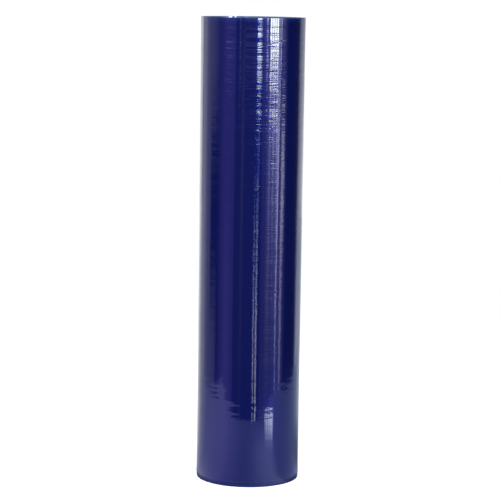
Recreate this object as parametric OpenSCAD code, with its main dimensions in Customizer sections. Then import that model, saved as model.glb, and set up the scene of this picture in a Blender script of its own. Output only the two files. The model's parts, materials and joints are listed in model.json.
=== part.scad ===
// Roll of protective film, standing on its end.
// One wide web of thin blue film is wound on a paper core. The web wanders a
// little as it is wound, so its turns lie in bands that stand a little higher
// or lower than their neighbours, and the last turns were wound clearly high:
// they stand proud of the top end and stop short of the bottom end.
// The origin is on the roll's axis, on the surface that the roll stands on.

/* [Film] */
// Width of the film web, which is the height of every turn
film_w = 609.6; // [300:0.1:1000]
// Thickness of the film
film_t = 0.05; // [0.04:0.01:0.1]
// Outside diameter of the wound roll
roll_d = 137.4; // [115:0.1:220]

/* [Core] */
// Diameter of the core's bore
core_bore_d = 76.2; // [50:0.1:85]
// Wall of the core
core_wall = 3.9; // [2:0.1:6]
// Depth at which the core's ends lie inside the film's ends
core_recess = 0.4; // [0:0.1:3]
// Bevel that the cutting knife leaves on the core's edges
core_bevel = 0.6; // [0.2:0.1:1]

/* [Winding] */
// Gap between the core and the first turn
wind_gap = 0.02; // [0:0.01:0.1]
// Number of bands in which the main turns lie
wander_bands = 14; // [4:1:24]
// Most that a band stands above the lowest one
wander = 0.9; // [0.2:0.1:2]
// Number of loose turns under the last ones
loose_turns = 8; // [6:1:20]
// Height by which the loose turns are shifted up
loose_shift = 2.7; // [1.5:0.1:5]
// Number of last turns
last_turns = 6; // [5:1:20]
// Height by which the last turns are shifted up
last_shift = 6.4; // [5.5:0.1:12]

/* [Hidden] */
$fn = 180;

film_blue = [0.06, 0.07, 0.35];
kraft_brown = [0.66, 0.52, 0.36];

core_r = core_bore_d / 2;
core_outer_r = core_r + core_wall;
core_low = core_recess;
core_high = film_w - core_recess;

roll_r = roll_d / 2;
last_r = roll_r - last_turns * film_t;
loose_r = last_r - loose_turns * film_t;
first_r = core_outer_r + wind_gap;
main_build = loose_r - first_r;

// Angles that spread the bands' edges and heights unevenly
edge_angle = 97;
height_angle = 137.5;
// Share of a band's width by which its edge may move
edge_play = 0.3;

// Radius of the inner edge of a main band, counted from the core
function band_edge(i) =
    i == 0 ? first_r
  : i == wander_bands ? loose_r
  : first_r + main_build * (i + edge_play * sin(i * edge_angle)) / wander_bands;

// Height of a main band above the surface; the outermost one stands on it
function band_shift(i) =
    wander * abs(sin((wander_bands - 1 - i) * height_angle));

// Every band as [inner radius, outer radius, height above the surface]
main_bands = [
    for (i = [0 : wander_bands - 1]) [band_edge(i), band_edge(i + 1), band_shift(i)]
];
bands = concat(
    main_bands,
    [[loose_r, last_r, loose_shift], [last_r, roll_r, last_shift]]
);

// Section of the wound web: the bands' top edges outwards, then their bottom
// edges back to the core
function web_section() = concat(
    [for (b = bands) each [[b[0], b[2] + film_w], [b[1], b[2] + film_w]]],
    [for (i = [len(bands) - 1 : -1 : 0])
        each [[bands[i][1], bands[i][2]], [bands[i][0], bands[i][2]]]]
);

// Section of the core's wall, with its four bevelled edges
function core_section() = [
    [core_r + core_bevel, core_low],
    [core_outer_r - core_bevel, core_low],
    [core_outer_r, core_low + core_bevel],
    [core_outer_r, core_high - core_bevel],
    [core_outer_r - core_bevel, core_high],
    [core_r + core_bevel, core_high],
    [core_r, core_high - core_bevel],
    [core_r, core_low + core_bevel]
];

// Paper tube that the film is wound on
module core() {
    color(kraft_brown)
        rotate_extrude()
            polygon(core_section());
}

// All turns of the web as one solid
module film_roll() {
    color(film_blue)
        rotate_extrude()
            polygon(web_section());
}

core();
film_roll();
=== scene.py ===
"""Roll of dark blue protective film, standing on its end.

The film is one wide web wound on a paper core. Three pieces are turned about the roll's axis from
drawn sections: the last turns, which stand proud of the top end, the turns under them with their
uneven end faces, and the core. All lengths are in metres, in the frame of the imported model.
"""

import json
import logging
import math
import random
from dataclasses import dataclass
from enum import Enum
from typing import Any

import bmesh
import bpy
from mathutils import Matrix, Vector


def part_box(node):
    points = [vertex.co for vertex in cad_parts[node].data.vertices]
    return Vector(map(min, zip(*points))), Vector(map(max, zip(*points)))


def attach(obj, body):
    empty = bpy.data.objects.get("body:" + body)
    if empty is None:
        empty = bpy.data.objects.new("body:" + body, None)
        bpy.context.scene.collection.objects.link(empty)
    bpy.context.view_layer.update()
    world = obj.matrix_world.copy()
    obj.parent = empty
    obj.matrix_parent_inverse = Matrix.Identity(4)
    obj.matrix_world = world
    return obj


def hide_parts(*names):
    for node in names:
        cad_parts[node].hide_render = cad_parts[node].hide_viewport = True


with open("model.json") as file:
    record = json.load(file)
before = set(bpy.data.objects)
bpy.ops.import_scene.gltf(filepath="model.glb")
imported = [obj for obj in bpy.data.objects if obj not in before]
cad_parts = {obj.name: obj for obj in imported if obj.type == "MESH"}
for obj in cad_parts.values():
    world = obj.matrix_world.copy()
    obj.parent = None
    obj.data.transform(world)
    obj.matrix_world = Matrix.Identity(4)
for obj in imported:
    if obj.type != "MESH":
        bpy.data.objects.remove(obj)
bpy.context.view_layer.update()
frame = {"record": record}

MM = 0.001
FULL_TURN = 2 * math.pi
SHARP_EDGE = math.radians(40)

# Points that are nearer than this are one.
WELD = 0.002 * MM
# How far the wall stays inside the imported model's face.
SKIN = 0.03 * MM
# Gap between the core and the first turn.
BOND = 0.02 * MM
# How far inside the last turns an end face's finish begins, and how softly.
FACE_INSET = 0.1 * MM
# Width of the narrow column at the tail edge, in radians.
TAIL_COLUMN = 0.0015
# How deep a point may lie in the wall and still belong to its face.
WALL_SKIN = 0.02 * MM
# How deep a point has to lie to belong to the inner side of the last turns.
INNER_DEPTH = 0.25 * MM
# How deep a point may lie in the core and still belong to its bore.
BORE_SKIN = 0.3 * MM

WHITE = (1, 1, 1, 1)

log = logging.getLogger("film_roll")

Pair = tuple[float, float]
Triple = tuple[float, float, float]
Steps = tuple[float, float, float, float]
Point = Pair
Socket = bpy.types.NodeSocket
Tree = bpy.types.NodeTree

FLOAT = "NodeSocketFloat"
INTEGER = "NodeSocketInt"
GEOMETRY = "NodeSocketGeometry"
MATERIAL = "NodeSocketMaterial"
GEOMETRY_TREE = "GeometryNodeTree"


class Op(Enum):
    """The sums that the node trees here use."""

    ADD = "ADD"
    SUBTRACT = "SUBTRACT"
    MULTIPLY = "MULTIPLY"
    DIVIDE = "DIVIDE"
    MODULO = "MODULO"
    ROUND = "ROUND"
    POWER = "POWER"
    SINE = "SINE"
    COSINE = "COSINE"
    ABSOLUTE = "ABSOLUTE"
    LESS = "LESS_THAN"
    GREATER = "GREATER_THAN"
    MAXIMUM = "MAXIMUM"
    MINIMUM = "MINIMUM"
    ARCTANGENT = "ARCTAN2"
    LENGTH = "LENGTH"
    DIRECTION = "NORMALIZE"
    SCALE = "SCALE"


class Finish(Enum):
    """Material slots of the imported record."""

    FILM = "blue_film"
    PAPER = "paper_core"


class Rays(Enum):
    """Kinds of ray that a piece of the studio can be seen by."""

    CAMERA = "visible_camera"
    DIFFUSE = "visible_diffuse"
    GLOSSY = "visible_glossy"
    TRANSMISSION = "visible_transmission"
    VOLUME = "visible_volume_scatter"
    SHADOW = "visible_shadow"


class Graph:
    """A node tree that is filled by short calls."""

    def __init__(self, tree: Tree) -> None:
        """Takes the node tree to fill."""
        self.tree = tree

    def feed(self, socket: Socket, value: Any) -> None:
        """Links a socket to another one, or sets its own value.

        Args:
            socket: the input to set.
            value: an output socket, or a plain value.
        """
        if isinstance(value, Socket):
            self.tree.links.new(value, socket)
        elif value is not None:
            socket.default_value = value

    def node(self, kind: str, inputs: dict[Any, Any] | None = None, **settings: Any) -> bpy.types.Node:
        """Adds one node.

        Args:
            kind: Blender's name of the node's type.
            inputs: a value or an output socket for each input, by name or number.
            **settings: the node's own properties.

        Returns:
            The new node.
        """
        made = self.tree.nodes.new(kind)
        for name, value in settings.items():
            setattr(made, name, value)
        for name, value in (inputs or {}).items():
            self.feed(made.inputs[name], value)
        return made

    def sum(self, op: Op, a: Any, b: Any = 0.0, clamp: bool = False) -> Socket:
        """Adds a sum of one or two values, which is kept from 0 to 1 if clamp is set."""
        return self.node("ShaderNodeMath", {0: a, 1: b}, operation=op.value, use_clamp=clamp).outputs[0]

    def plus(self, a: Any, b: Any, clamp: bool = False) -> Socket:
        """Adds two values."""
        return self.sum(Op.ADD, a, b, clamp)

    def minus(self, a: Any, b: Any) -> Socket:
        """Takes the second value from the first."""
        return self.sum(Op.SUBTRACT, a, b)

    def times(self, a: Any, b: Any) -> Socket:
        """Multiplies two values."""
        return self.sum(Op.MULTIPLY, a, b)

    def over(self, a: Any, b: Any, clamp: bool = False) -> Socket:
        """Divides the first value by the second."""
        return self.sum(Op.DIVIDE, a, b, clamp)

    def split(self, vector: Any) -> Any:
        """Takes a vector apart, and returns its three values."""
        return self.node("ShaderNodeSeparateXYZ", {0: vector}).outputs

    def join(self, x: Any = 0.0, y: Any = 0.0, z: Any = 0.0) -> Socket:
        """Makes a vector of three values."""
        return self.node("ShaderNodeCombineXYZ", {0: x, 1: y, 2: z}).outputs[0]

    def vector(self, op: Op, inputs: dict[Any, Any], result: Any = 0) -> Socket:
        """Adds a sum of vectors, and returns one of its outputs."""
        return self.node("ShaderNodeVectorMath", inputs, operation=op.value).outputs[result]

    def position(self) -> Socket:
        """The position of a point, in geometry nodes."""
        return self.node("GeometryNodeInputPosition").outputs[0]

    def on_object(self) -> Socket:
        """The place on the object, in a material."""
        return self.node("ShaderNodeTexCoord").outputs["Object"]

    def from_axis(self, place: Any) -> tuple[Any, Socket, Socket]:
        """Reads a place round the Z axis.

        Args:
            place: the place.

        Returns:
            Its three values, its direction away from the axis and its distance from it.
        """
        parts = self.split(place)
        flat = self.join(parts[0], parts[1])
        return parts, self.vector(Op.DIRECTION, {0: flat}), self.vector(Op.LENGTH, {0: flat}, "Value")

    def ramp(self, value: Any, low: Any, high: Any, at_low: Any = 0.0, at_high: Any = 1.0) -> Socket:
        """Steps smoothly from at_low to at_high, while the value goes from low to high."""
        values = {0: value, 1: low, 2: high, 3: at_low, 4: at_high}
        return self.node("ShaderNodeMapRange", values, interpolation_type="SMOOTHSTEP").outputs[0]

    def window(self, value: Any, sides: Any) -> Socket:
        """Rises from 0 to 1 between the first two sides, and falls again between the last two."""
        return self.times(self.ramp(value, *sides[:2]), self.ramp(value, *sides[2:]))

    def blend(self, share: Any, first: Any, second: Any) -> Socket:
        """Mixes two colours.

        Args:
            share: how much of the second colour there is.
            first: the first colour or socket.
            second: the second colour or socket.

        Returns:
            The mixed colour.
        """
        made = self.node("ShaderNodeMix", {0: share}, data_type="RGBA")
        for number, colour in ((6, first), (7, second)):
            self.feed(made.inputs[number], (*colour, 1) if isinstance(colour, tuple) else colour)
        return made.outputs[2]

    def noise(self, vector: Any, detail: float = 2.0, roughness: float = 0.5) -> Socket:
        """Adds a noise round zero, with one feature to a unit of the vector."""
        values = {"Vector": vector, "Scale": 1.0, "Detail": detail, "Roughness": roughness}
        return self.minus(self.node("ShaderNodeTexNoise", values).outputs[0], 0.5)

    def stretch(self, vector: Any, around: Any, along: Any, shift: float = 0.0) -> Socket:
        """Divides a place by one length across the roll's axis and by another along it.

        Args:
            vector: the place.
            around: the length across the axis.
            along: the length along the axis.
            shift: a number that moves the result, so that two patterns differ.

        Returns:
            The divided place.
        """
        parts = self.split(vector)
        x = self.plus(self.over(parts[0], around), shift)
        return self.join(x, self.over(parts[1], around), self.over(parts[2], along))

    def glow(self, colour: Any, strength: Any = 1.0) -> Socket:
        """Adds an emission, and returns its shader."""
        return self.node("ShaderNodeEmission", {"Color": colour, "Strength": strength}).outputs[0]

    def choose(self, share: Any, first: Any, second: Any) -> Socket:
        """Mixes two shaders, and returns the result."""
        return self.node("ShaderNodeMixShader", {0: share, 1: first, 2: second}).outputs[0]


def new_group(
    name: str, kind: str, inputs: dict[str, tuple[str, Any]], output: tuple[str, str]
) -> tuple[Graph, dict[str, Socket], Socket]:
    """Makes an empty node group with named sockets.

    Args:
        name: the group's name.
        kind: GeometryNodeTree or ShaderNodeTree.
        inputs: each input's name, with its socket type and its default or None.
        output: the output's name and its socket type.

    Returns:
        The graph, the input sockets by name, and the socket that takes the result.
    """
    tree = bpy.data.node_groups.new(name, kind)
    for label, (socket, default) in inputs.items():
        made = tree.interface.new_socket(name=label, in_out="INPUT", socket_type=socket)
        if default is not None:
            made.default_value = default
    tree.interface.new_socket(name=output[0], in_out="OUTPUT", socket_type=output[1])
    graph = Graph(tree)
    given = graph.node("NodeGroupInput").outputs
    result = graph.node("NodeGroupOutput").inputs[output[0]]
    return graph, {label: given[label] for label in inputs}, result


def new_material(name: str, plain: bool = False) -> tuple[bpy.types.Material, Graph, Any]:
    """Makes a material.

    Args:
        name: its name.
        plain: whether it goes without the Principled BSDF.

    Returns:
        The material, its graph, and its Principled BSDF or else the socket that takes the surface.
    """
    made = bpy.data.materials.new(name)
    made.use_nodes = True
    nodes = made.node_tree.nodes
    shader = nodes["Principled BSDF"]
    if not plain:
        return made, Graph(made.node_tree), shader
    nodes.remove(shader)
    return made, Graph(made.node_tree), nodes["Material Output"].inputs["Surface"]


def add_object(name: str, data: Any) -> bpy.types.Object:
    """Adds an object to the scene.

    Args:
        name: its name.
        data: its mesh, lamp or camera.

    Returns:
        The object.
    """
    made = bpy.data.objects.new(name, data)
    bpy.context.scene.collection.objects.link(made)
    return made


@dataclass(frozen=True)
class Pattern:
    """A noise that finishes share, as one shader group.

    Attributes:
        name: the group's name.
        detail: the number of finer noises on top.
        roughness: how strong the finer noises are.
        shift: a number that moves the pattern.
    """

    name: str
    detail: float
    roughness: float
    shift: float = 0.0

    def group(self) -> Tree:
        """Builds the group, or finds it once it is built.

        Returns:
            The group.
        """
        if self.name in bpy.data.node_groups:
            return bpy.data.node_groups[self.name]
        given = {"Around": (FLOAT, 0.03), "Along": (FLOAT, 0.03), "Strength": (FLOAT, 1.0)}
        graph, inputs, result = new_group(self.name, "ShaderNodeTree", given, ("Value", FLOAT))
        spot = graph.stretch(graph.on_object(), inputs["Around"], inputs["Along"], self.shift)
        value = graph.noise(spot, self.detail, self.roughness)
        graph.feed(result, graph.times(value, inputs["Strength"]))
        return graph.tree

    def put(self, graph: Graph, around: float, along: float, strength: float) -> Socket:
        """Puts the group in a material, with the lengths of a feature across and along the axis."""
        values = {"Around": around, "Along": along, "Strength": strength}
        return graph.node("ShaderNodeGroup", values, node_tree=self.group()).outputs[0]


SOFT_PATCHES = Pattern("soft patches", 3.0, 0.6)
HOOP_RIPPLES = Pattern("hoop ripples", 1.5, 0.45, 3.7)


@dataclass(frozen=True)
class FilmFinish:
    """Clear dark blue film, in a stack of turns.

    The face mirrors the room without colour. Under it, the many turns mirror it a second time,
    softly and in blue.

    Attributes:
        name: the material's name.
        deep: colour of the whole stack of turns.
        thin: colour of a few free turns: their own lighter blue, with painted light for the light that
            comes through them.
        free_from: height at which the turns begin to stand free.
        free_to: height of the free edge.
        edge: height of the lower edge of the wall, over which a painted highlight runs.
        ledge: height of the ledge that shades the wall under it, or 0.
        face_radius: radius within which the surface is a cut end face, or 0.
        crease: height of a short crease in the outer turn, or 0.
        pale: painted light on the free turns as seen from inside, as if lit through from behind.
        cut: colour of the cut edges that stand out in an end face.
        painted_edge_highlight: colour of the painted highlight just over the wall's lower edge.
        painted_edge_highlight_at: how far over the edge the painted highlight begins and is full, and how
            far it goes below.
        shade_at: how far under the ledge its shade begins and is full, and how far it goes above.
        shade: how much gloss the shade takes.
        patches: length of the soft patches around and along, and their strength.
        patch_tint: how much the patches change the colour.
        patch_rough: how much they change the roughness.
        face_rough: how much rougher a cut end face is.
        face_dull: how much less gloss a cut end face has.
        ring_widths: widths of the broad and the fine rings of an end face.
        ring_steps: where the rings begin and are full.
        face_roughness: roughness of the film's face.
        face_index: index of refraction of the film's face.
        inner_roughness: roughness of the gloss that comes from the turns under the face.
        inner_index: index of refraction that sets the strength of that gloss.
        inner_gloss: colour of that gloss.
        ripples: length of the finest ripples around and along, and their nominal height.
        dimples: the same for the round dimples.
        calm_low: heights between which the ripples grow, and their share at both.
        calm_foot: heights between which ripples and dimples grow, and their share at both.
        calm_top: how far under the free edge they shrink, and their share at the edge.
        crease_bearing: place of the crease round the roll.
        crease_climb: how far the crease climbs in one radian.
        crease_reach: how far to each side it goes and is full, in radians.
        crease_size: half the width and the depth of the crease.
    """

    name: str
    deep: Triple
    thin: Triple
    free_from: float
    free_to: float
    edge: float
    ledge: float = 0.0
    face_radius: float = 0.0
    crease: float = 0.0
    pale: Triple = (0.13, 0.18, 0.28)
    cut: Triple = (0.012, 0.03, 0.17)
    painted_edge_highlight: Triple = (0.011, 0.02, 0.09)
    painted_edge_highlight_at: Triple = (1.3 * MM, 0.4 * MM, 0.2 * MM)
    shade_at: Triple = (2.0 * MM, 0.6 * MM, 1 * MM)
    shade: float = 0.25
    patches: Triple = (0.05, 0.09, 0.35)
    patch_tint: float = 0.1
    patch_rough: float = 0.2
    face_rough: float = 0.2
    face_dull: float = 0.6
    ring_widths: Pair = (1.9 * MM, 0.5 * MM)
    ring_steps: Pair = (-0.25, 0.3)
    face_roughness: float = 0.03
    face_index: float = 1.5
    inner_roughness: float = 0.2
    inner_index: float = 1.55
    inner_gloss: Triple = (0.02, 0.06, 1.0)
    ripples: Triple = (24 * MM, 1.15 * MM, 0.09 * MM)
    dimples: Triple = (3 * MM, 3.4 * MM, 0.028 * MM)
    calm_low: Steps = (0.1, 0.26, 0.08, 1.0)
    calm_foot: Steps = (0.03, 0.07, 0.2, 1.0)
    calm_top: Pair = (0.08, 0.15)
    crease_bearing: float = math.radians(-65.6)
    crease_climb: float = 15 * MM
    crease_reach: Pair = (0.42, 0.15)
    crease_size: Pair = (1.2 * MM, 0.1 * MM)

    def material(self) -> bpy.types.Material:
        """Makes the material.

        Returns:
            The material.
        """
        made, graph, shader = new_material(self.name)
        place = graph.on_object()
        height = graph.split(place)[2]
        patches = SOFT_PATCHES.put(graph, *self.patches)
        inner = graph.node("ShaderNodeAttribute", attribute_name="inner side").outputs["Fac"]
        colour = self.tint(graph, height, patches, inner)
        rough = graph.plus(self.inner_roughness, graph.times(patches, self.patch_rough))
        coat: Any = 1.0
        if self.face_radius:
            face, rings = self.end_rings(graph, place)
            colour = graph.blend(graph.times(face, rings), colour, self.cut)
            rough = graph.plus(rough, graph.times(face, self.face_rough))
            coat = graph.minus(coat, graph.times(face, self.face_dull))
        if self.ledge:
            begin, full, above = self.shade_at
            under = graph.ramp(height, self.ledge - begin, self.ledge - full, 0.0, self.shade)
            coat = graph.minus(coat, graph.times(under, graph.sum(Op.LESS, height, self.ledge + above)))
        graph.feed(shader.inputs["Base Color"], colour)
        graph.feed(shader.inputs["Roughness"], rough)
        graph.feed(shader.inputs["Coat Weight"], coat)
        relief = self.relief(graph, place, height, inner)
        bump = graph.node("ShaderNodeBump", {"Strength": 1.0, "Distance": 1.0, "Height": relief})
        graph.feed(shader.inputs["Normal"], bump.outputs[0])
        graph.feed(shader.inputs["Coat Normal"], bump.outputs[0])
        shader.inputs["IOR"].default_value = self.inner_index
        shader.inputs["Specular Tint"].default_value = (*self.inner_gloss, 1)
        shader.inputs["Coat Roughness"].default_value = self.face_roughness
        shader.inputs["Coat IOR"].default_value = self.face_index
        return made

    def tint(self, graph: Graph, height: Any, patches: Any, inner: Any) -> Socket:
        """Colour of the film, lighter where turns stand free, with a painted highlight at the lower edge
        and painted light on the free turns' inner side.

        Args:
            graph: the material's tree.
            height: the height on the object.
            patches: the value of the soft patches.
            inner: 1 on the inner side of the turns and 0 elsewhere.

        Returns:
            The colour.
        """
        # Lighter where the turns stand free: the thinner stack's own blue, with painted light for the
        # light that comes through it. The soft patches shift the colour at random.
        free = graph.ramp(height, self.free_from, self.free_to)
        share = graph.plus(free, graph.times(patches, self.patch_tint), True)
        colour = graph.blend(share, self.deep, self.thin)
        # Painted highlight: a lighter band just over the wall's lower edge, in place of the light that
        # the cut edge catches.
        begin, full, below = self.painted_edge_highlight_at
        edge = self.edge
        lit = graph.window(height, (edge + begin, edge + full, edge - below, edge))
        colour = graph.blend(lit, colour, self.painted_edge_highlight)
        # Painted light: the inner side of the free turns is painted lighter, as if lit through from
        # behind.
        inside = graph.times(inner, graph.sum(Op.GREATER, height, self.free_from))
        return graph.blend(inside, colour, self.pale)

    def relief(self, graph: Graph, place: Any, height: Any, inner: Any) -> Socket:
        """Height in metres of the fine ripples, the dimples and the crease.

        Args:
            graph: the material's tree.
            place: the place on the object.
            height: the height on the object.
            inner: 1 on the inner side of the turns and 0 elsewhere.

        Returns:
            The height.
        """
        ripples = graph.times(HOOP_RIPPLES.put(graph, *self.ripples), graph.ramp(height, *self.calm_low))
        both = graph.plus(ripples, HOOP_RIPPLES.put(graph, *self.dimples))
        reach, least = self.calm_top
        top = graph.ramp(height, self.free_to, self.free_to - reach, least, 1.0)
        both = graph.times(both, graph.times(top, graph.ramp(height, *self.calm_foot)))
        both = graph.times(both, graph.minus(1.0, inner))
        if self.crease:
            both = graph.minus(both, self.crease_depth(graph, place))
        return both

    def crease_depth(self, graph: Graph, place: Any) -> Socket:
        """Depth in metres of a short crease that climbs a little round the roll.

        Args:
            graph: the material's tree.
            place: the place on the object.

        Returns:
            The depth.
        """
        parts = graph.split(place)
        apart = graph.minus(graph.sum(Op.ARCTANGENT, parts[1], parts[0]), self.crease_bearing)
        climbing = graph.plus(graph.times(apart, self.crease_climb), self.crease)
        off = graph.sum(Op.ABSOLUTE, graph.minus(parts[2], climbing))
        window = graph.ramp(graph.sum(Op.ABSOLUTE, apart), *self.crease_reach)
        width, depth = self.crease_size
        return graph.times(graph.ramp(off, width, 0.0), graph.times(window, depth))

    def end_rings(self, graph: Graph, place: Any) -> tuple[Socket, Socket]:
        """Where the surface is a cut end face, and how far single edges stand out there as rings.

        Args:
            graph: the material's tree.
            place: the place on the object.

        Returns:
            The mask of the end face and the share of the cut edges' colour.
        """
        radius = graph.from_axis(place)[2]
        face = graph.ramp(radius, self.face_radius, self.face_radius - FACE_INSET)
        broad, fine = (graph.join(graph.over(radius, width)) for width in self.ring_widths)
        rings = graph.plus(graph.noise(broad, 1.0), graph.noise(fine, 2.0, 0.7))
        return face, graph.ramp(rings, *self.ring_steps)


@dataclass(frozen=True)
class PaperFinish:
    """Brown paper of a spiral-wound tube.

    Attributes:
        name: the material's name.
        face: colour of the paper's face.
        fibre: colour of its darker fibres.
        fibres: length of the fibres around and along, and their strength.
        clouds: the same for its clouds.
        middle: share of the fibres' colour where nothing changes it.
        relief: nominal height of the fibres.
        roughness: roughness of the face.
    """

    name: str
    face: Triple = (0.42, 0.29, 0.17)
    fibre: Triple = (0.25, 0.16, 0.09)
    fibres: Triple = (0.0015, 0.006, 1.6)
    clouds: Triple = (0.03, 0.05, 0.8)
    middle: float = 0.4
    relief: float = 0.05 * MM
    roughness: float = 0.85

    def material(self) -> bpy.types.Material:
        """Makes the material.

        Returns:
            The material.
        """
        made, graph, shader = new_material(self.name)
        fibres = SOFT_PATCHES.put(graph, *self.fibres)
        mask = graph.plus(graph.plus(fibres, SOFT_PATCHES.put(graph, *self.clouds)), self.middle, True)
        graph.feed(shader.inputs["Base Color"], graph.blend(mask, self.face, self.fibre))
        bump = graph.node("ShaderNodeBump", {"Strength": 1.0, "Distance": self.relief, "Height": fibres})
        graph.feed(shader.inputs["Normal"], bump.outputs[0])
        shader.inputs["Roughness"].default_value = self.roughness
        return made


def store(graph: Graph, geometry: Any, name: str, value: Any) -> Socket:
    """Stores a value on every point.

    Args:
        graph: the tree being built.
        geometry: the geometry that gets the value.
        name: the attribute's name.
        value: the value's socket.

    Returns:
        The geometry with the value.
    """
    inputs = {"Geometry": geometry, "Name": name, "Value": value}
    made = graph.node("GeometryNodeStoreNamedAttribute", inputs, data_type="FLOAT", domain="POINT")
    return made.outputs[0]


def stored(graph: Graph, name: str) -> Socket:
    """Reads a stored value."""
    return graph.node("GeometryNodeInputNamedAttribute", {"Name": name}, data_type="FLOAT").outputs[0]


def moved(graph: Graph, geometry: Any, material: Any, offset: Any) -> Socket:
    """Ends a tree: moves the points, closes the seam, realises instances and sets the material.

    Args:
        graph: the tree being built.
        geometry: what has been made.
        material: the material's socket.
        offset: how far each point moves.

    Returns:
        The finished geometry.
    """
    placed = graph.node("GeometryNodeSetPosition", {"Geometry": geometry, "Offset": offset})
    inputs = {"Geometry": placed.outputs[0], "Distance": WELD}
    merged = graph.node("GeometryNodeMergeByDistance", inputs)
    real = graph.node("GeometryNodeRealizeInstances", {"Geometry": merged.outputs[0]})
    inputs = {"Geometry": real.outputs[0], "Material": material}
    return graph.node("GeometryNodeSetMaterial", inputs).outputs[0]


def turned_group() -> Tree:
    """Geometry nodes that turn a drawn section about the Z axis.

    The section is a closed row of points in the XZ plane. The result has narrow columns on each
    side of a seam, and carries the share of the turn as the attribute lap and the seam's own
    points as the attribute seam.

    Returns:
        The tree.
    """
    name = "turned section"
    if name in bpy.data.node_groups:
        return bpy.data.node_groups[name]
    given = {"Section": (GEOMETRY, None), "Columns": (INTEGER, 96)}
    sizes = {"Seam angle": 0.0, "Seam width": 0.002, "Twist": 0.0, "Twist from": 0.0, "Twist within": 1.0}
    given |= {label: (FLOAT, size) for label, size in sizes.items()}
    graph, inputs, result = new_group(name, GEOMETRY_TREE, given, ("Geometry", GEOMETRY))
    columns, seam_width = inputs["Columns"], inputs["Seam width"]
    size = graph.node("GeometryNodeAttributeDomainSize", {0: inputs["Section"]}, component="MESH")
    count = size.outputs[0]
    shape = {0: 1.0, 1: 1.0, 2: graph.plus(columns, 2), 3: graph.plus(count, 1)}
    grid = graph.node("GeometryNodeMeshGrid", shape)
    parts = graph.split(graph.position())
    column, row = (
        graph.sum(Op.ROUND, graph.times(graph.plus(part, 0.5), last))
        for part, last in ((parts[0], graph.plus(columns, 1)), (parts[1], count))
    )
    row = graph.sum(Op.MODULO, row, count)
    sample = {"Geometry": inputs["Section"], "Value": graph.position(), "Index": row}
    drawn = graph.node("GeometryNodeSampleIndex", sample, data_type="FLOAT_VECTOR", domain="POINT")
    point = graph.split(drawn.outputs[0])

    wide = graph.minus(FULL_TURN, graph.times(seam_width, 3))
    step = graph.over(graph.minus(column, 1), graph.minus(columns, 2))
    swept = graph.plus(graph.times(step, wide), seam_width)
    swept = graph.sum(Op.MINIMUM, swept, graph.minus(FULL_TURN, seam_width))
    last_column = graph.plus(columns, 0.5)
    closed = graph.sum(Op.GREATER, column, last_column)
    swept = graph.plus(graph.sum(Op.MAXIMUM, swept, 0.0), graph.times(closed, seam_width))
    twisted = graph.times(graph.minus(point[2], inputs["Twist from"]), inputs["Twist"])
    twisted = graph.times(twisted, graph.sum(Op.LESS, point[0], inputs["Twist within"]))
    angle = graph.plus(graph.plus(swept, inputs["Seam angle"]), twisted)
    x, y = (graph.times(point[0], graph.sum(op, angle)) for op in (Op.COSINE, Op.SINE))

    inside = graph.sum(Op.LESS, column, last_column)
    lap = graph.times(graph.over(swept, FULL_TURN), inside)
    seam = graph.minus(1.0, graph.times(inside, graph.sum(Op.GREATER, column, 0.5)))
    marked = store(graph, store(graph, grid.outputs[0], "lap", lap), "seam", seam)
    position = {"Geometry": marked, "Position": graph.join(x, y, point[2])}
    graph.feed(result, graph.node("GeometryNodeSetPosition", position).outputs[0])
    return graph.tree


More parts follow.
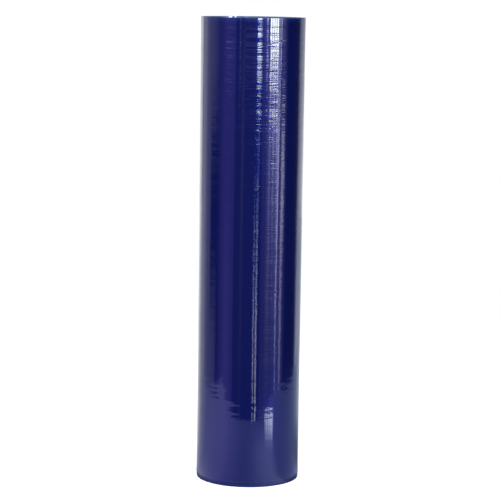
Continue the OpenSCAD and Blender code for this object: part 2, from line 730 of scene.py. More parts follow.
def film_tree() -> Tree:
    """Geometry nodes that turn a section of wound film and give it its relief.

    The outer wall is a spiral that steps down by one film's thickness at the tail edge. Ripples
    and hoops press it in, never out, and at one place the inner side of the free rim is bent
    outwards.

    Returns:
        The tree.
    """
    sizes = {
        "Tail angle": 0.0,
        "Tail skew": 0.0,
        "Film thickness": 0.05 * MM,
        "Wall radius": 0.05,
        "Wall bottom": 0.0,
        "Wall top": 0.1,
        "Ripple height": 0.02 * MM,
        "Ripple length": 4 * MM,
        "Ripple width": 20 * MM,
        "Hoop height": 0.02 * MM,
        "Hoop length": 12 * MM,
        "Calm": 12 * MM,
        "Rim from": 0.1,
        "Rim flare": 0.6,
        "Flare angle": 2.0,
        "Flare width": 0.2,
        "End ripple": 0.05 * MM,
    }
    given = {"Geometry": (GEOMETRY, None), "Columns": (INTEGER, 96), "Material": (MATERIAL, None)}
    given |= {label: (FLOAT, size) for label, size in sizes.items()}
    graph, inputs, result = new_group("wound film", GEOMETRY_TREE, given, ("Geometry", GEOMETRY))
    turning = {
        "Section": inputs["Geometry"],
        "Columns": inputs["Columns"],
        "Seam angle": inputs["Tail angle"],
        "Twist": inputs["Tail skew"],
        "Seam width": TAIL_COLUMN,
    }
    turned = graph.node("GeometryNodeGroup", turning, node_tree=turned_group())
    place = graph.position()
    parts, outward, radius = graph.from_axis(place)
    height = parts[2]
    wall_radius, wall_top = inputs["Wall radius"], inputs["Wall top"]
    on_wall = graph.sum(Op.GREATER, radius, graph.minus(wall_radius, WALL_SKIN))
    above = graph.ramp(graph.minus(height, inputs["Wall bottom"]), 0.0, inputs["Calm"])
    below = graph.ramp(graph.minus(wall_top, height), 0.0, inputs["Calm"])

    ripple = graph.noise(graph.stretch(place, inputs["Ripple width"], inputs["Ripple length"]))
    field_around, field_along, field_shift = 0.05, 0.03, 7.0
    fields: Steps = (-0.2, 0.25, 0.25, 1.0)
    strength = graph.noise(graph.stretch(place, field_around, field_along, field_shift), 1.0)
    strength = graph.times(inputs["Ripple height"], graph.ramp(strength, *fields))
    ripple = graph.times(graph.plus(ripple, 0.5), strength)
    hoop_around, hoop_shift, hoop_roughness = 0.5, 1.0, 0.55
    hoop = graph.stretch(place, hoop_around, inputs["Hoop length"], hoop_shift)
    hoop = graph.noise(hoop, roughness=hoop_roughness)
    hoop = graph.times(graph.plus(hoop, 0.5), inputs["Hoop height"])
    pressed = graph.times(graph.plus(ripple, hoop), graph.times(above, below))
    spiral = graph.times(stored(graph, "lap"), inputs["Film thickness"])
    pressed = graph.times(graph.plus(pressed, spiral), on_wall)

    rim_from = inputs["Rim from"]
    free = graph.over(graph.minus(height, rim_from), graph.minus(wall_top, rim_from), True)
    bearing = graph.sum(Op.ARCTANGENT, parts[1], parts[0])
    apart = graph.sum(Op.ABSOLUTE, graph.minus(bearing, inputs["Flare angle"]))
    local = graph.times(graph.ramp(apart, inputs["Flare width"], 0.0), inputs["Rim flare"])
    rim_curve = 1.2
    flared = graph.times(graph.sum(Op.POWER, free, rim_curve), local)
    flared = graph.times(flared, graph.minus(wall_radius, radius))
    sideways = graph.vector(Op.SCALE, {0: outward, "Scale": graph.minus(flared, pressed)})

    end_around, end_along, end_shift, turns_width, end_gain = 0.02, 1.0, 2.0, 0.5 * MM, 4.0
    end = graph.noise(graph.stretch(place, end_around, end_along, end_shift))
    across = graph.noise(graph.join(graph.over(radius, turns_width)), 1.0)
    end = graph.times(end, graph.times(across, inputs["End ripple"]))
    end = graph.sum(Op.ABSOLUTE, graph.times(end, end_gain))
    upper = graph.sum(Op.GREATER, height, graph.times(wall_top, 0.5))
    sign = graph.minus(1.0, graph.times(upper, 2.0))
    lifted = graph.join(z=graph.times(end, sign))
    offset = graph.vector(Op.ADD, {0: sideways, 1: lifted})
    inner = graph.sum(Op.LESS, radius, graph.minus(wall_radius, INNER_DEPTH))
    marked = store(graph, turned.outputs[0], "inner side", inner)
    graph.feed(result, moved(graph, marked, inputs["Material"], offset))
    return graph.tree


def core_tree() -> Tree:
    """Geometry nodes that turn the core's section and press in the seam of its inner ply.

    Returns:
        The tree.
    """
    sizes = {
        "Seam pitch": 0.17,
        "Seam from": 0.0,
        "Seam width": 0.8 * MM,
        "Seam depth": 0.25 * MM,
        "Bore radius": 0.038,
    }
    given = {"Geometry": (GEOMETRY, None), "Columns": (INTEGER, 96), "Material": (MATERIAL, None)}
    given |= {label: (FLOAT, size) for label, size in sizes.items()}
    graph, inputs, result = new_group("wound paper tube", GEOMETRY_TREE, given, ("Geometry", GEOMETRY))
    bore = inputs["Bore radius"]
    bore_skin = graph.plus(bore, BORE_SKIN)
    turning = {
        "Section": inputs["Geometry"],
        "Columns": inputs["Columns"],
        "Seam width": graph.over(inputs["Seam width"], bore),
        "Twist": graph.over(FULL_TURN, inputs["Seam pitch"]),
        "Twist from": inputs["Seam from"],
        "Twist within": bore_skin,
    }
    turned = graph.node("GeometryNodeGroup", turning, node_tree=turned_group())
    _, outward, radius = graph.from_axis(graph.position())
    on_bore = graph.sum(Op.LESS, radius, bore_skin)
    depth = graph.times(stored(graph, "seam"), graph.times(on_bore, inputs["Seam depth"]))
    pushed = graph.vector(Op.SCALE, {0: outward, "Scale": depth})
    graph.feed(result, moved(graph, turned.outputs[0], inputs["Material"], pushed))
    return graph.tree


def stretch_of(start: Point, end: Point, steps: int) -> list[Point]:
    """Points along a straight stretch, without its last one.

    Args:
        start: where it begins.
        end: where it ends.
        steps: how many equal steps it has.

    Returns:
        The points.
    """
    return [
        (start[0] + (end[0] - start[0]) * i / steps, start[1] + (end[1] - start[1]) * i / steps)
        for i in range(steps)
    ]


def turn(name: str, section: list[Point], tree: Tree, values: dict[str, Any]) -> bpy.types.Object:
    """Turns a section with a geometry-nodes tree and keeps the result as a plain mesh.

    Args:
        name: the piece's name.
        section: the section's points, as radius and height.
        tree: the tree that turns it.
        values: the tree's inputs by name.

    Returns:
        The finished piece.
    """
    drawn = bpy.data.meshes.new(name + "_section")
    drawn.from_pydata([(r, 0.0, z) for r, z in section], [], [])
    piece = add_object(name, drawn)
    modifier = piece.modifiers.new("turn", "NODES")
    modifier.node_group = tree
    sockets = {s.name: s.identifier for s in tree.interface.items_tree if s.in_out == "INPUT"}
    for label, value in values.items():
        modifier[sockets[label]] = value
    bpy.context.view_layer.update()
    seen = piece.evaluated_get(bpy.context.evaluated_depsgraph_get())
    mesh = bpy.data.meshes.new_from_object(seen)
    mesh.name = name
    piece.modifiers.remove(modifier)
    piece.data = mesh
    bpy.data.meshes.remove(drawn)

    shape = bmesh.new()
    shape.from_mesh(mesh)
    if shape.calc_volume(signed=True) < 0:
        bmesh.ops.reverse_faces(shape, faces=shape.faces)
    shape.to_mesh(mesh)
    open_edges = sum(1 for edge in shape.edges if len(edge.link_faces) != 2)
    shape.free()
    mesh.shade_smooth()
    mesh.set_sharp_from_angle(angle=SHARP_EDGE)
    triangles = sum(len(p.vertices) - 2 for p in mesh.polygons)
    log.info("%s: %d triangles, %d open edges", name, triangles, open_edges)
    return piece


@dataclass
class WoundFilm:
    """All turns of the web: the main and the loose ones, and the last ones that stand proud.

    Attributes:
        low: height of the lowest turn.
        high: height of the highest turn.
        outer_radius: radius of the last turn.
        inner_radius: radius of the first turn.
        thickness: thickness of the film.
        last_turns: number of last turns.
        last_shift: height by which they are shifted up.
        loose_turns: number of loose turns under them.
        loose_shift: height by which those are shifted up.
        wander_bands: number of bands in which the main turns lie.
        wander: most that a band stands above the lowest one.
        edge_angle: angle that spreads the bands' edges unevenly.
        height_angle: angle that spreads the bands' heights unevenly.
        edge_play: share of a band's width by which its edge may move.
        turn_pitch: distance between the fine ridges of an end face.
        turn_ridge: most that a fine ridge lies under its band.
        tail_angle: place of the tail edge round the roll, at the floor.
        tail_skew: how far that edge turns round the roll in a metre of height.
        leaf_play: most that a last turn's end lies under the highest one.
        leaf_share: share of a turn's thickness that its end shows.
        free_share: how far down the free rim's inner side has fine rows, in shifts of the last turns.
        ripple: height, length and width of the ripples in the wall.
        hoop: height and length of the hoops in the wall.
        calm: how far the wall is smooth from both ends.
        rim_flare: how far the free rim is bent outwards there, as a share of its thickness.
        crease: height of a short crease in the outer turn.
        flare_angle: place round the roll where the free rim is bent outwards.
        flare_width: how far that bend reaches to each side.
        seed: seed of the fine ridges.
        end_ripple: height of the ripples in the end faces.
        columns: columns of faces in the last turns and in the ones under them.
        rows: rows of faces in the visible wall, and on the free rim's inner side and under it.
        hidden_rows: rows of faces on the outer and the inner side of the turns under the last ones.
        deep: colour of the whole stack of turns.
        thin: colour of a few free turns, their own lighter blue with painted light that comes through
            them.
    """

    low: float
    high: float
    outer_radius: float
    inner_radius: float
    thickness: float = 0.05 * MM
    last_turns: int = 6
    last_shift: float = 6.4 * MM
    loose_turns: int = 8
    loose_shift: float = 2.7 * MM
    wander_bands: int = 14
    wander: float = 0.9 * MM
    edge_angle: float = math.radians(97)
    height_angle: float = math.radians(137.5)
    edge_play: float = 0.3
    turn_pitch: float = 0.26 * MM
    turn_ridge: float = 0.16 * MM
    tail_angle: float = math.radians(-61.4)
    tail_skew: float = 0.115
    crease: float = 0.584
    flare_angle: float = math.radians(121)
    flare_width: float = math.radians(17)
    seed: int = 11
    leaf_play: float = 0.3 * MM
    leaf_share: float = 0.9
    free_share: float = 1.5
    ripple: Triple = (0.3 * MM, 7.0 * MM, 34 * MM)
    hoop: Pair = (0.12 * MM, 15 * MM)
    calm: float = 21 * MM
    rim_flare: float = 0.85
    end_ripple: float = 0.5 * MM
    columns: tuple[int, int] = (122, 220)
    rows: tuple[int, int, int] = (740, 12, 8)
    hidden_rows: tuple[int, int] = (40, 12)
    deep: Triple = (0.0012, 0.0035, 0.062)
    thin: Triple = (0.003, 0.016, 0.11)

    @property
    def width(self) -> float:
        """Width of the web."""
        return self.high - self.low - self.last_shift

    @property
    def last_radius(self) -> float:
        """Inner radius of the last turns."""
        return self.outer_radius - self.last_turns * self.thickness

    @property
    def loose_radius(self) -> float:
        """Inner radius of the loose turns."""
        return self.last_radius - self.loose_turns * self.thickness

    def bands(self) -> list[tuple[float, float, float]]:
        """Every band under the last turns, from the inside outwards.

        Returns:
            Each band's inner radius, outer radius and height above the lowest turn.
        """
        build = self.loose_radius - self.inner_radius
        edges = [self.inner_radius]
        for i in range(1, self.wander_bands):
            share = (i + self.edge_play * math.sin(i * self.edge_angle)) / self.wander_bands
            edges.append(self.inner_radius + build * share)
        edges.append(self.loose_radius)
        last = self.wander_bands - 1
        main = [
            (edges[i], edges[i + 1], self.wander * abs(math.sin((last - i) * self.height_angle)))
            for i in range(self.wander_bands)
        ]
        return main + [(self.loose_radius, self.last_radius, self.loose_shift)]

    def end_face(self, chance: random.Random, top: bool) -> list[Point]:
        """Points of one end face from the first turn outwards.

        Args:
            chance: the seeded source of the ridges' heights.
            top: whether it is the top end.

        Returns:
            The points.
        """
        points: list[Point] = []
        for inner, outer, shift in self.bands():
            steps = max(2, round((outer - inner) / self.turn_pitch))
            level = self.low + shift + (self.width if top else 0.0)
            for i in range(steps + 1):
                ridge = chance.random() ** 2 * self.turn_ridge if 0 < i < steps else 0.0
                radius = inner + (outer - inner) * i / steps
                points.append((radius, level - ridge if top else level + ridge))
        return points

    def build_turns(self, tree: Tree, finish: bpy.types.Material) -> bpy.types.Object:
        """Builds the main and the loose turns.

        Args:
            tree: the tree that turns a section of wound film.
            finish: the film's material.

        Returns:
            The piece.
        """
        chance = random.Random(self.seed)
        top = self.end_face(chance, True)
        bottom = self.end_face(chance, False)
        wall = stretch_of(top[-1], bottom[-1], self.hidden_rows[0])[1:]
        inside = stretch_of(bottom[0], top[0], self.hidden_rows[1])[1:]
        section = top + wall + bottom[::-1] + inside
        values = {
            "Columns": self.columns[1],
            "Tail angle": self.tail_angle,
            "Film thickness": 0.0,
            "Wall radius": self.last_radius,
            "Wall bottom": self.low,
            "Wall top": self.low + self.width,
            "Ripple height": 0.0,
            "Hoop height": 0.0,
            "Rim from": self.low + self.width,
            "Rim flare": 0.0,
            "End ripple": self.end_ripple,
            "Material": finish,
        }
        return turn("wound_turns", section, tree, values)

    def leaf_ends(self, levels: list[float]) -> list[Point]:
        """Points of the uneven ends of the last turns.

        Args:
            levels: height of each turn's end, from the inner one outwards.

        Returns:
            The points.
        """
        points: list[Point] = []
        for i, level in enumerate(levels):
            inner = self.last_radius + i * self.thickness
            points += [(inner, level), (inner + self.thickness * self.leaf_share, level)]
        return points[:-1] + [(self.outer_radius, levels[-1])]

    def build_last(self, tree: Tree, finish: bpy.types.Material) -> bpy.types.Object:
        """Builds the last turns, which are the roll's visible wall.

        Args:
            tree: the tree that turns a section of wound film.
            finish: the film's material.

        Returns:
            The piece.
        """
        chance = random.Random(self.seed + 1)
        bottom = self.low + self.last_shift
        under = range(self.last_turns - 1)
        tops = [self.high - chance.random() * self.leaf_play for _ in under] + [self.high]
        lows = [bottom + chance.random() * self.leaf_play for _ in under] + [bottom]
        lip, foot = self.leaf_ends(tops), self.leaf_ends(lows)
        wall = stretch_of(lip[-1], foot[-1], self.rows[0])[1:]
        free_from = self.high - self.last_shift * self.free_share
        free = stretch_of((self.last_radius, free_from), lip[0], self.rows[1])
        inside = stretch_of(foot[0], free[0], self.rows[2])[1:]
        section = lip + wall + foot[::-1] + inside + free
        values = {
            "Columns": self.columns[0],
            "Tail angle": self.tail_angle,
            "Film thickness": self.thickness,
            "Wall radius": self.outer_radius,
            "Wall bottom": bottom,
            "Wall top": self.high,
            "Ripple height": self.ripple[0],
            "Ripple length": self.ripple[1],
            "Ripple width": self.ripple[2],
            "Hoop height": self.hoop[0],
            "Hoop length": self.hoop[1],
            "Calm": self.calm,
            "Rim from": self.low + self.width,
            "Rim flare": self.rim_flare,
            "Flare angle": self.flare_angle,
            "Flare width": self.flare_width,
            "Tail skew": self.tail_skew,
            "End ripple": 0.0,
            "Material": finish,
        }
        return turn("last_turns", section, tree, values)

    def build(self) -> None:
        """Builds both pieces of the film and joins them to the frame."""
        tree = film_tree()
        free_from = self.low + self.width
        never = free_from + 1
        common = {"deep": self.deep, "thin": self.thin}
        main = FilmFinish(
            "deep blue film",
            free_from=never,
            free_to=never + 1,
            edge=self.low + self.loose_shift,
            ledge=self.low + self.last_shift,
            face_radius=self.last_radius - FACE_INSET,
            **common,
        )
        last = FilmFinish(
            "deep blue film with a free rim",
            free_from=free_from,
            free_to=self.high,
            edge=self.low + self.last_shift,
            crease=self.crease,
            **common,
        )
        for piece in (self.build_turns(tree, main.material()), self.build_last(tree, last.material())):
            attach(piece, "root")
            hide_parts("film_roll")


@dataclass
class PaperCore:
    """The spiral-wound paper tube under the film.

    Attributes:
        low: height of its lower end.
        high: height of its upper end.
        bore_radius: radius of its bore.
        outer_radius: its outer radius.
        bevel: bevel that the knife leaves on its edges.
        plies: number of paper plies in the wall.
        ply_play: most that a ply's cut edge lies under the others.
        seam_pitch: rise of the inner ply's seam in one turn, rounded to a whole number of turns.
        seam_width: width of that seam.
        seam_depth: its depth.
        ply_share: share of a ply's thickness that its cut edge shows.
        columns: columns of faces in the tube.
        rows: rows of faces on its outer side and in its bore.
        seed: seed of the plies' edges.
    """

    low: float
    high: float
    bore_radius: float
    outer_radius: float
    bevel: float = 0.6 * MM
    plies: int = 9
    ply_play: float = 0.12 * MM
    seam_pitch: float = 0.172
    seam_width: float = 0.7 * MM
    seam_depth: float = 0.3 * MM
    ply_share: float = 0.85
    columns: int = 132
    rows: tuple[int, int] = (8, 220)
    seed: int = 5

    def end_face(self, chance: random.Random, level: float, inward: float) -> list[Point]:
        """Points of one cut end from the bore outwards.

        Args:
            chance: the seeded source of the plies' edges.
            level: height of the cut.
            inward: 1 if the tube lies above the cut, -1 if it lies under it.

        Returns:
            The points.
        """
        inner, outer = self.bore_radius + self.bevel, self.outer_radius - self.bevel
        points = [(self.bore_radius, level + inward * self.bevel)]
        for i in range(self.plies):
            start = inner + (outer - inner) * i / self.plies
            end = inner + (outer - inner) * (i + self.ply_share) / self.plies
            depth = inward * chance.random() * self.ply_play
            points += [(start, level + depth), (end, level + depth)]
        return points + [(self.outer_radius, level + inward * self.bevel)]

    def build(self) -> None:
        """Builds the tube and joins it to the frame."""
        chance = random.Random(self.seed)
        finish = PaperFinish("brown core paper")
        top = self.end_face(chance, self.high, -1)
        bottom = self.end_face(chance, self.low, 1)
        wall = stretch_of(top[-1], bottom[-1], self.rows[0])[1:]
        inside = stretch_of(bottom[0], top[0], self.rows[1])[1:]
        section = top + wall + bottom[::-1] + inside
        length = top[0][1] - bottom[0][1]
        values = {
            "Columns": self.columns,
            "Seam pitch": length / max(1, round(length / self.seam_pitch)),
            "Seam from": bottom[0][1],
            "Seam width": self.seam_width,
            "Seam depth": self.seam_depth,
            "Bore radius": self.bore_radius,
            "Material": finish.material(),
        }
        piece = turn("paper_core", section, core_tree(), values)
        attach(piece, "root")
        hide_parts("core")


@dataclass(frozen=True)
class Panel:
    """A lit or dim panel that only the gloss sees, as a studio's soft boxes and walls.

    Attributes:
        name: what it is.
        left: its left edge, in degrees from the camera's side of the roll.
        right: its right edge, in degrees, to the camera's right.
        low: height of its lower edge.
        high: height of its upper edge.
        light: its brightness and colour at the top.
        light_low: its brightness and colour at the bottom, or None for the same.
        fade: how far its left, right and lower edges fade, in degrees, degrees and metres.
        dashes: number of pieces that it is broken into from top to bottom, or 0.
        dash_gap: share of such a piece that is dark.
        distance: its distance from the roll's axis.
        slant: how far its lower edge lies to the left of its upper edge, in degrees.
        slats: number of bright slats in it.
        gap: share of a slat's width that is dark.
        strip: nominal width of a strip of faces, in degrees.
        rows: number of faces in a strip that isn't broken.
    """

    name: str
    left: float
    right: float
    low: float
    high: float
    light: Triple
    light_low: Triple | None = None
    fade: Triple = (0.0, 0.0, 0.0)
    dashes: int = 0
    dash_gap: float = 0.0
    distance: float = 3.1
    slant: float = 0.0
    slats: int = 1
    gap: float = 0.0
    strip: float = 3.0
    rows: int = 8

    def build(self) -> None:
        """Builds the panel."""
        shape = bmesh.new()
        spread = shape.loops.layers.uv.new("spread")
        share = 1 / self.slats
        parts = max(1, round((self.right - self.left) * share / self.strip))
        for slat in range(self.slats):
            edges = [(slat + self.gap / 2 + (1 - self.gap) * i / parts) * share for i in range(parts + 1)]
            for left, right in zip(edges, edges[1:]):
                self.add_strip(shape, spread, left, right)
        mesh = bpy.data.meshes.new(self.name)
        shape.to_mesh(mesh)
        shape.free()
        mesh.materials.append(self.material())
        made = add_object(self.name, mesh)
        for kind in Rays:
            setattr(made, kind.value, kind is Rays.GLOSSY)

    def add_strip(self, shape: bmesh.types.BMesh, spread: Any, left: float, right: float) -> None:
        """Adds an upright strip of faces.

        Args:
            shape: the mesh that is being made.
            spread: its layer of shares of the width and the height.
            left: the strip's left edge, as a share of the panel's width.
            right: its right edge.
        """
        rows = self.dashes or self.rows
        for j in range(rows):
            below, above = j / rows, (j + 1 - self.dash_gap) / rows
            shares = [(left, below), (right, below), (right, above), (left, above)]
            face = shape.faces.new([shape.verts.new(self.place(*pair)) for pair in shares])
            for loop, pair in zip(face.loops, shares):
                loop[spread].uv = pair

    def place(self, across: float, up: float) -> Triple:
        """A point of the panel.

        Args:
            across: share of the width from the left.
            up: share of the height from below.

        Returns:
            The point.
        """
        degrees = self.left + (self.right - self.left) * across - self.slant * (1 - up)
        angle = math.radians(degrees)
        height = self.low + (self.high - self.low) * up
        return self.distance * math.sin(angle), -self.distance * math.cos(angle), height

    def material(self) -> bpy.types.Material:
        """Makes the panel's light.

        Returns:
            The material.
        """
        made, graph, surface = new_material(self.name, plain=True)
        parts = graph.split(graph.node("ShaderNodeUVMap", uv_map="spread").outputs[0])
        light = graph.glow(graph.blend(parts[1], self.light_low or self.light, self.light))
        wide, tall = self.right - self.left, self.high - self.low
        edges = ((parts[0], 0.0, 1 / wide), (parts[0], 1.0, -1 / wide), (parts[1], 0.0, 1 / tall))
        seen: Any = 1.0
        for amount, (share, start, way) in zip(self.fade, edges):
            if amount:
                seen = graph.times(seen, graph.ramp(share, start, start + way * amount))
        if any(self.fade):
            light = graph.choose(seen, graph.node("ShaderNodeBsdfTransparent").outputs[0], light)
        graph.feed(surface, light)
        return made


# From left to right, as the roll mirrors them.
PANELS = (
    Panel("dark_wall", -140, 130, -3.0, 2.4, (0.02, 0.022, 0.03), distance=3.4),
    Panel(
        "left_edge", -140, -112, -2.0, 2.4, (0.66, 0.66, 0.72),
        light_low=(0.62, 0.62, 0.7), fade=(6, 9, 0),
    ),
    Panel("left_screen", -122, -64, 0.25, 2.4, (0.4, 0.4, 0.48), fade=(8, 30, 0), distance=3.14),
    Panel("left_screen_low", -122, -99, -0.25, 0.25, (0.38, 0.38, 0.5), fade=(8, 4, 0)),
    Panel("left_screen_foot", -122, -78, -2.0, -0.25, (0.36, 0.36, 0.5), fade=(8, 8, 0)),
    Panel(
        "purple_wall", -84, -36, -2.0, 2.4, (0.4, 0.32, 0.72),
        light_low=(0.3, 0.23, 0.62), fade=(24, 3, 0),
    ),
    Panel("purple_top", -66, -37, 0.46, 1.6, (0.66, 0.54, 1.0), fade=(12, 2, 0.12), distance=3.05),
    Panel("purple_glow", -63, -43, 0.54, 1.6, (1.5, 1.3, 1.9), fade=(7, 9, 0.06), distance=3.0),
    Panel(
        "purple_core", -64, -43, -2.0, 0.05, (0.46, 0.37, 0.8),
        light_low=(0.42, 0.3, 0.74), fade=(8, 6, 0), distance=3.04,
    ),
    Panel(
        "faint_post", -24.5, -16, -1.0, 0.45, (0.36, 0.36, 0.4),
        light_low=(0.05, 0.05, 0.06), fade=(3, 2, 0), distance=3.12,
    ),
    Panel("middle_wall", -38, 14, -2.0, 2.4, (0.2, 0.2, 0.24), light_low=(0.05, 0.06, 0.1), distance=3.2),
    Panel("middle_top", -24, 9, 0.46, 1.6, (0.5, 0.5, 0.55), fade=(10, 0, 0.1), distance=3.15),
    Panel(
        "left_post", -30.5, -24.0, 0.42, 2.0, (1.6, 1.6, 1.75),
        fade=(3, 2.5, 0.1), dashes=12, dash_gap=0.5,
    ),
    Panel("narrow_box", 9.5, 22.0, 0.515, 2.0, (20.5, 22, 17), fade=(1.0, 6.5, 0)),
    Panel(
        "narrow_tail", 12.4, 18.6, 0.1, 0.515, (2.5, 2.7, 2.4),
        light_low=(1.0, 1.1, 1.2), fade=(2, 2, 0), dashes=17, dash_gap=0.45,
    ),
    Panel(
        "narrow_foot_left", 6.6, 9.0, -0.6, -0.09, (6.4, 6.7, 6.4),
        fade=(0.5, 0.5, 0.06), dashes=34, dash_gap=0.4, distance=3.06, slant=-1.5,
    ),
    Panel(
        "narrow_foot", 11.4, 16.6, -0.62, -0.05, (6.4, 6.7, 6.0),
        fade=(2, 2, 0), dashes=41, dash_gap=0.45, slant=-1.2,
    ),
    Panel(
        "grey_wall", 18, 84, -2.0, 2.4, (0.5, 0.46, 0.5),
        light_low=(0.12, 0.12, 0.28), fade=(8, 8, 0), distance=3.25,
    ),
    Panel(
        "box_spill", 19.5, 40, 0.3, 2.2, (2.5, 2.6, 2.1),
        light_low=(0.9,) * 3, fade=(8, 0, 0.5), distance=3.2,
    ),
    Panel("box_arm", 28.5, 34.0, 0.46, 2.2, (13, 12.6, 14), light_low=(9, 8.8, 10), fade=(2.5, 1.5, 0.1)),
    Panel("wide_box", 37.4, 58.0, 0.45, 2.2, (25, 26, 17), dashes=6, dash_gap=0.2, slats=4, gap=0.24),
    Panel(
        "box_fall", 58.0, 67.5, 0.4, 2.2, (7.0, 7.0, 6.2),
        light_low=(3.4, 3.4, 3.2), fade=(0, 8, 0.1), distance=3.13,
    ),
    Panel(
        "wide_foot_left", 30, 45, -0.7, 0.44, (1.5, 1.4, 1.3),
        light_low=(0.2, 0.18, 0.36), fade=(10, 2, 0.3), distance=3.15,
    ),
    Panel(
        "wide_foot_right", 44, 66, -0.7, 0.44, (1.4, 1.3, 1.2),
        light_low=(0.1, 0.1, 0.28), fade=(3, 2, 0.3), distance=3.17,
    ),
    Panel(
        "post_a", 38.5, 40.5, -0.3, 0.44, (2.8, 2.6, 3.0),
        light_low=(1.6, 1.5, 1.8), fade=(0, 0, 0.4), distance=3.05,
    ),
    Panel(
        "post_b", 45.5, 50.5, 0.06, 0.44, (6.2, 6.2, 5.0),
        light_low=(3.3, 3.3, 3.0), dashes=4, dash_gap=0.45, distance=3.05,
    ),
    Panel("post_c", 54.0, 59.0, 0.14, 0.44, (5.4, 5.2, 5.0), dashes=3, dash_gap=0.35, distance=3.08),
    Panel(
        "post_d", 58.8, 62.4, -0.64, 0.3, (5.8, 5.6, 5.4),
        light_low=(4.8, 4.6, 4.6), fade=(0, 0, 0.1), distance=3.0, slant=1.5,
    ),
    Panel("side_top", 64, 77, 0.44, 2.0, (1.2, 1.15, 1.2), fade=(0, 6, 0.1)),
    Panel(
        "side_box", 68, 79, 0.0, 0.25, (7.4, 7.1, 5.6),
        light_low=(6.0, 5.7, 5.0), fade=(2, 4, 0.0), dashes=16, dash_gap=0.35,
    ),
    Panel(
        "side_low", 67.5, 75.5, -0.6, 0.0, (4.4, 4.2, 3.8),
        light_low=(1.3, 1.2, 1.3), fade=(2, 3, 0), dashes=36, dash_gap=0.35,
    ),
    Panel(
        "right_wall", 119, 200, -0.7, 1.0, (0.08, 0.1, 0.14),
        light_low=(1.42, 1.46, 1.5), fade=(14, 0, 0),
    ),
)


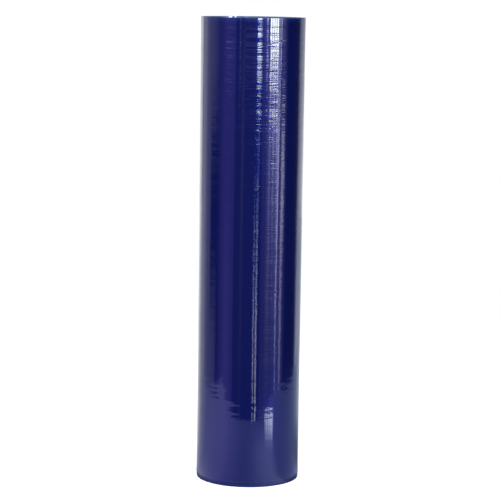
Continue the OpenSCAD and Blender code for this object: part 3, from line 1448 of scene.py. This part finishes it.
@dataclass(frozen=True)
class Table:
    """What the gloss sees of the floor: a white table that ends in front and at the sides, with painted
    light, shade and shine on it.

    Attributes:
        front: distance of its front edge from the roll's axis.
        left: distance of its left edge from the axis.
        right: distance of its right edge from the axis.
        bow: how far the front edge bows, in each metre squared.
        blur: half the softness of its edges.
        far: bearings between which white ground takes over behind the roll, in degrees.
        painted_light_by_bearing: painted light and shade of the table, as a colour by bearing from the
            camera's side, in degrees.
        foot: distances between which the painted shadow of the roll's own foot fades out.
        lift: distances between which it grows lighter, and by how much.
        behind: bearings between which a painted shade of the back of the roll lies on it.
        shade: distances over which that shade runs, and its strength at both.
        sides: bearings between which the wide box's shine begins, and those between which it ends.
        streak: how fast the streaks in that shine follow each other.
        slope: bearings over which the shine grows, and its strength at both.
        reach: distances over which the shine grows, and those over which it ends.
        shine: strength of the shine.
        haze_sides: bearings between which a haze round the shine begins, and between which it ends.
        haze_reach: distances over which it fades.
        haze: strength of the haze.
        shine_tint: colour of the shine and the haze.
    """

    front: float = 0.47
    left: float = 0.65
    right: float = 0.68
    bow: float = -0.25
    blur: float = 0.01
    far: Pair = (112, 150)
    painted_light_by_bearing: tuple[tuple[float, Triple], ...] = (
        (-160, (1.0, 1.0, 1.0)),
        (-126, (0.5, 0.52, 0.66)),
        (-100, (0.46, 0.49, 0.78)),
        (-80, (0.76, 0.74, 1.15)),
        (-50, (0.98, 0.92, 1.45)),
        (-34, (0.76, 0.72, 1.25)),
        (-12, (0.5, 0.54, 0.85)),
        (10, (0.42, 0.49, 0.78)),
        (60, (0.5, 0.56, 0.95)),
        (85, (0.36, 0.44, 0.78)),
        (126, (0.27, 0.34, 0.48)),
        (150, (0.36, 0.42, 0.5)),
        (164, (0.38, 0.41, 0.46)),
        (178, (0.6, 0.6, 0.6)),
    )
    foot: Steps = (0.068, 0.09, 0.1, 1.0)
    lift: Steps = (0.09, 0.4, 0.92, 1.06)
    behind: Pair = (100, 130)
    shade: Steps = (0.5, 0.15, -0.3, 0.5)
    sides: Steps = (34.5, 36.5, 54.5, 52.5)
    streak: float = 1.3
    slope: Steps = (40, 50, 0.9, 1.35)
    reach: Steps = (0.2, 0.5, 0.52, 0.5)
    shine: float = 8.2
    haze_sides: Steps = (-8, 38, 62, 44)
    haze_reach: Pair = (0.5, 0.24)
    haze: float = 0.7
    shine_tint: Triple = (0.95, 1, 0.95)

    def mask(self, graph: Graph, parts: Any, degrees: Any) -> Socket:
        """Where the gloss meets the table, and the white ground far behind the roll.

        Args:
            graph: the floor's material.
            parts: the three parts of the place.
            degrees: its bearing from the camera's side of the roll.

        Returns:
            The mask.
        """
        blur = self.blur
        right = graph.ramp(parts[0], self.right - blur, self.right + blur, 1.0, 0.0)
        left = graph.ramp(parts[0], -self.left - blur, -self.left + blur)
        deep = graph.plus(parts[1], graph.times(graph.sum(Op.POWER, parts[0], 2.0), self.bow))
        front = graph.ramp(deep, -self.front - blur, -self.front + blur)
        table = graph.times(graph.times(left, right), front)
        return graph.sum(Op.MAXIMUM, table, graph.ramp(graph.sum(Op.ABSOLUTE, degrees), *self.far))

    def light(self, graph: Graph, degrees: Any, radius: Any) -> Socket:
        """Painted light: bright at the left and shaded in front, with a painted shine of the wide box on
        it.

        Args:
            graph: the floor's material.
            degrees: the bearing from the camera's side of the roll.
            radius: the distance from the roll's axis.

        Returns:
            The shader's output.
        """
        # Painted light and shade of the table, as a colour by bearing.
        ramp = graph.node("ShaderNodeValToRGB")
        row = ramp.color_ramp.elements
        for i, (bearing, colour) in enumerate(self.painted_light_by_bearing):
            spot = (bearing + 180) / 360
            stop = row[i] if i < 2 else row.new(spot)
            stop.position = spot
            stop.color = (*colour, 1)
        graph.feed(ramp.inputs[0], graph.over(graph.plus(degrees, 180), 360))
        # Painted shadow near the roll's foot, and painted shade behind the roll.
        near = graph.times(graph.ramp(radius, *self.foot), graph.ramp(radius, *self.lift))
        behind = graph.times(graph.ramp(degrees, *self.behind), graph.ramp(radius, *self.shade))
        plain = graph.glow(ramp.outputs[0], graph.times(near, graph.minus(1.0, behind)))

        # Painted shine of the wide box on the table, with a painted haze round it.
        inside = graph.window(degrees, self.sides)
        streaks = graph.ramp(graph.sum(Op.SINE, graph.times(degrees, self.streak)), -1.0, 1.0, 0.5, 1.0)
        streaks = graph.times(streaks, graph.ramp(degrees, *self.slope))
        strength = graph.times(graph.sum(Op.POWER, graph.window(radius, self.reach), 2.0), self.shine)
        strength = graph.times(strength, graph.times(inside, streaks))
        haze = graph.times(graph.window(degrees, self.haze_sides), graph.ramp(radius, *self.haze_reach))
        strength = graph.plus(strength, graph.times(haze, self.haze))
        shine = graph.glow((*self.shine_tint, 1), strength)
        return graph.node("ShaderNodeAddShader", {0: plain, 1: shine}).outputs[0]


@dataclass
class Studio:
    """Floor, panels, lamps, world and camera.

    Attributes:
        height: height of the roll, which the camera's place is given in.
        camera_distance: distance of the camera from the axis, in roll heights.
        camera_height: height of the camera, in roll heights.
        camera_side: how far to the right of the axis the camera stands.
        camera_pitch: how far the camera looks down, in degrees.
        camera_roll: how far the camera is turned about the direction it looks in, in degrees.
        focal_px: focal length in pixels of the photograph's frame.
        frame_px: width of the photograph's frame in pixels.
        sensor: width of the camera's sensor in millimetres.
        floor_size: half the width of the floor.
        floor_colour: brightness of the floor's paper.
        floor_glow: how much brighter the camera sees it.
        backdrop: distances over which it turns into the white backdrop.
        world_light: strength of the light from all sides.
    """

    height: float
    camera_distance: float = 4.179
    camera_height: float = 1.072
    camera_side: float = -0.25 * MM
    camera_pitch: float = 7.81
    camera_roll: float = 0.828
    focal_px: float = 1947.0
    frame_px: float = 500.0
    sensor: float = 36.0
    floor_size: float = 14.0
    floor_colour: float = 0.8
    floor_glow: float = 0.62
    backdrop: Pair = (0.5, 1.6)
    world_light: float = 0.55

    def build_floor(self) -> None:
        """Builds the pale floor, which the gloss sees as a table."""
        size = self.floor_size
        mesh = bpy.data.meshes.new("floor")
        corners = [(-size, -size, 0), (size, -size, 0), (size, size, 0), (-size, size, 0)]
        mesh.from_pydata(corners, [], [(0, 1, 2, 3)])
        add_object("floor", mesh)
        material, graph, surface = new_material("pale floor", plain=True)
        rays = graph.node("ShaderNodeLightPath").outputs
        place = graph.on_object()
        parts = graph.split(place)
        radius = graph.vector(Op.LENGTH, {0: place}, "Value")
        bearing = graph.sum(Op.ARCTANGENT, parts[0], graph.times(parts[1], -1.0))
        degrees = graph.times(bearing, math.degrees(1))
        white = graph.node("ShaderNodeBsdfDiffuse", {"Color": (*(self.floor_colour,) * 3, 1)}).outputs[0]
        shine = graph.plus(rays["Is Camera Ray"], rays["Is Transmission Ray"], True)
        glow = graph.glow(WHITE, graph.times(shine, self.floor_glow))
        near = graph.node("ShaderNodeAddShader", {0: white, 1: glow}).outputs[0]
        seen = graph.choose(graph.ramp(radius, *self.backdrop), near, graph.glow(WHITE))
        table = Table()
        nothing = graph.node("ShaderNodeBsdfTransparent").outputs[0]
        light = table.light(graph, degrees, radius)
        gloss = graph.choose(table.mask(graph, parts, degrees), nothing, light)
        graph.feed(surface, graph.choose(rays["Is Glossy Ray"], seen, gloss))
        mesh.materials.append(material)

    def build_world(self) -> None:
        """Makes the world: white to the camera, the gloss and glass, and a soft light to the rest."""
        world = bpy.data.worlds.new("studio")
        bpy.context.scene.world = world
        world.use_nodes = True
        graph = Graph(world.node_tree)
        ground = world.node_tree.nodes["Background"]
        rays = graph.node("ShaderNodeLightPath").outputs
        seen = graph.plus(rays["Is Camera Ray"], rays["Is Transmission Ray"])
        seen = graph.plus(seen, rays["Is Glossy Ray"], True)
        ground.inputs["Color"].default_value = WHITE
        graph.feed(ground.inputs["Strength"], graph.ramp(seen, 0.0, 1.0, self.world_light, 1.0))

    def add_lamp(self, name: str, place: Triple, size: float, power: float) -> None:
        """Adds a large soft lamp that looks at the roll's middle.

        Args:
            name: the lamp's name.
            place: where it stands.
            size: its width and height.
            power: its power in watts.
        """
        light = bpy.data.lights.new(name, "AREA")
        light.size = size
        light.energy = power
        lamp = add_object(name, light)
        lamp.location = place
        aim = Vector((0, 0, self.height / 2)) - lamp.location
        lamp.rotation_mode = "QUATERNION"
        lamp.rotation_quaternion = aim.to_track_quat("-Z", "Y")
        lamp.visible_glossy = False
        lamp.visible_camera = False

    def build_camera(self) -> None:
        """Places the camera where the photograph was taken from."""
        data = bpy.data.cameras.new("camera")
        data.sensor_fit = "HORIZONTAL"
        data.sensor_width = self.sensor
        data.lens = self.focal_px * self.sensor / self.frame_px
        camera = add_object("camera", data)
        away, up = self.camera_distance * self.height, self.camera_height * self.height
        place = Matrix.Translation((self.camera_side, -away, up))
        tilt = Matrix.Rotation(math.radians(90 - self.camera_pitch), 4, "X")
        roll = Matrix.Rotation(math.radians(self.camera_roll), 4, "Z")
        camera.matrix_world = place @ tilt @ roll
        bpy.context.scene.camera = camera

    def build(self) -> None:
        """Builds the whole studio."""
        self.build_floor()
        self.build_world()
        for panel in PANELS:
            panel.build()
        self.add_lamp("key", place=(-1.3, -2.5, 2.0), size=1.6, power=60)
        self.add_lamp("fill", place=(2.2, -1.6, 1.4), size=2.0, power=20)
        self.build_camera()
        bpy.context.scene.view_settings.view_transform = "Standard"
        log.info("studio: floor, world, %d panels, 2 lamps and the camera", len(PANELS))


def main() -> None:
    """Builds the roll and its studio."""
    logging.basicConfig(level=logging.INFO, format="%(message)s")
    film_low, film_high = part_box("film_roll")
    core_low, core_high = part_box("core")
    bore = next(m for m in frame["record"]["mounts"] if m["name"] == "core_bore")
    core = PaperCore(core_low.z, core_high.z, bore["dims"]["r_mm"] * MM, core_high.x)
    film = WoundFilm(film_low.z, film_high.z, film_high.x - SKIN, core.outer_radius + BOND)
    core.build()
    film.build()
    Studio(film_high.z).build()
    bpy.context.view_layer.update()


if __name__ == "__main__":
    main()
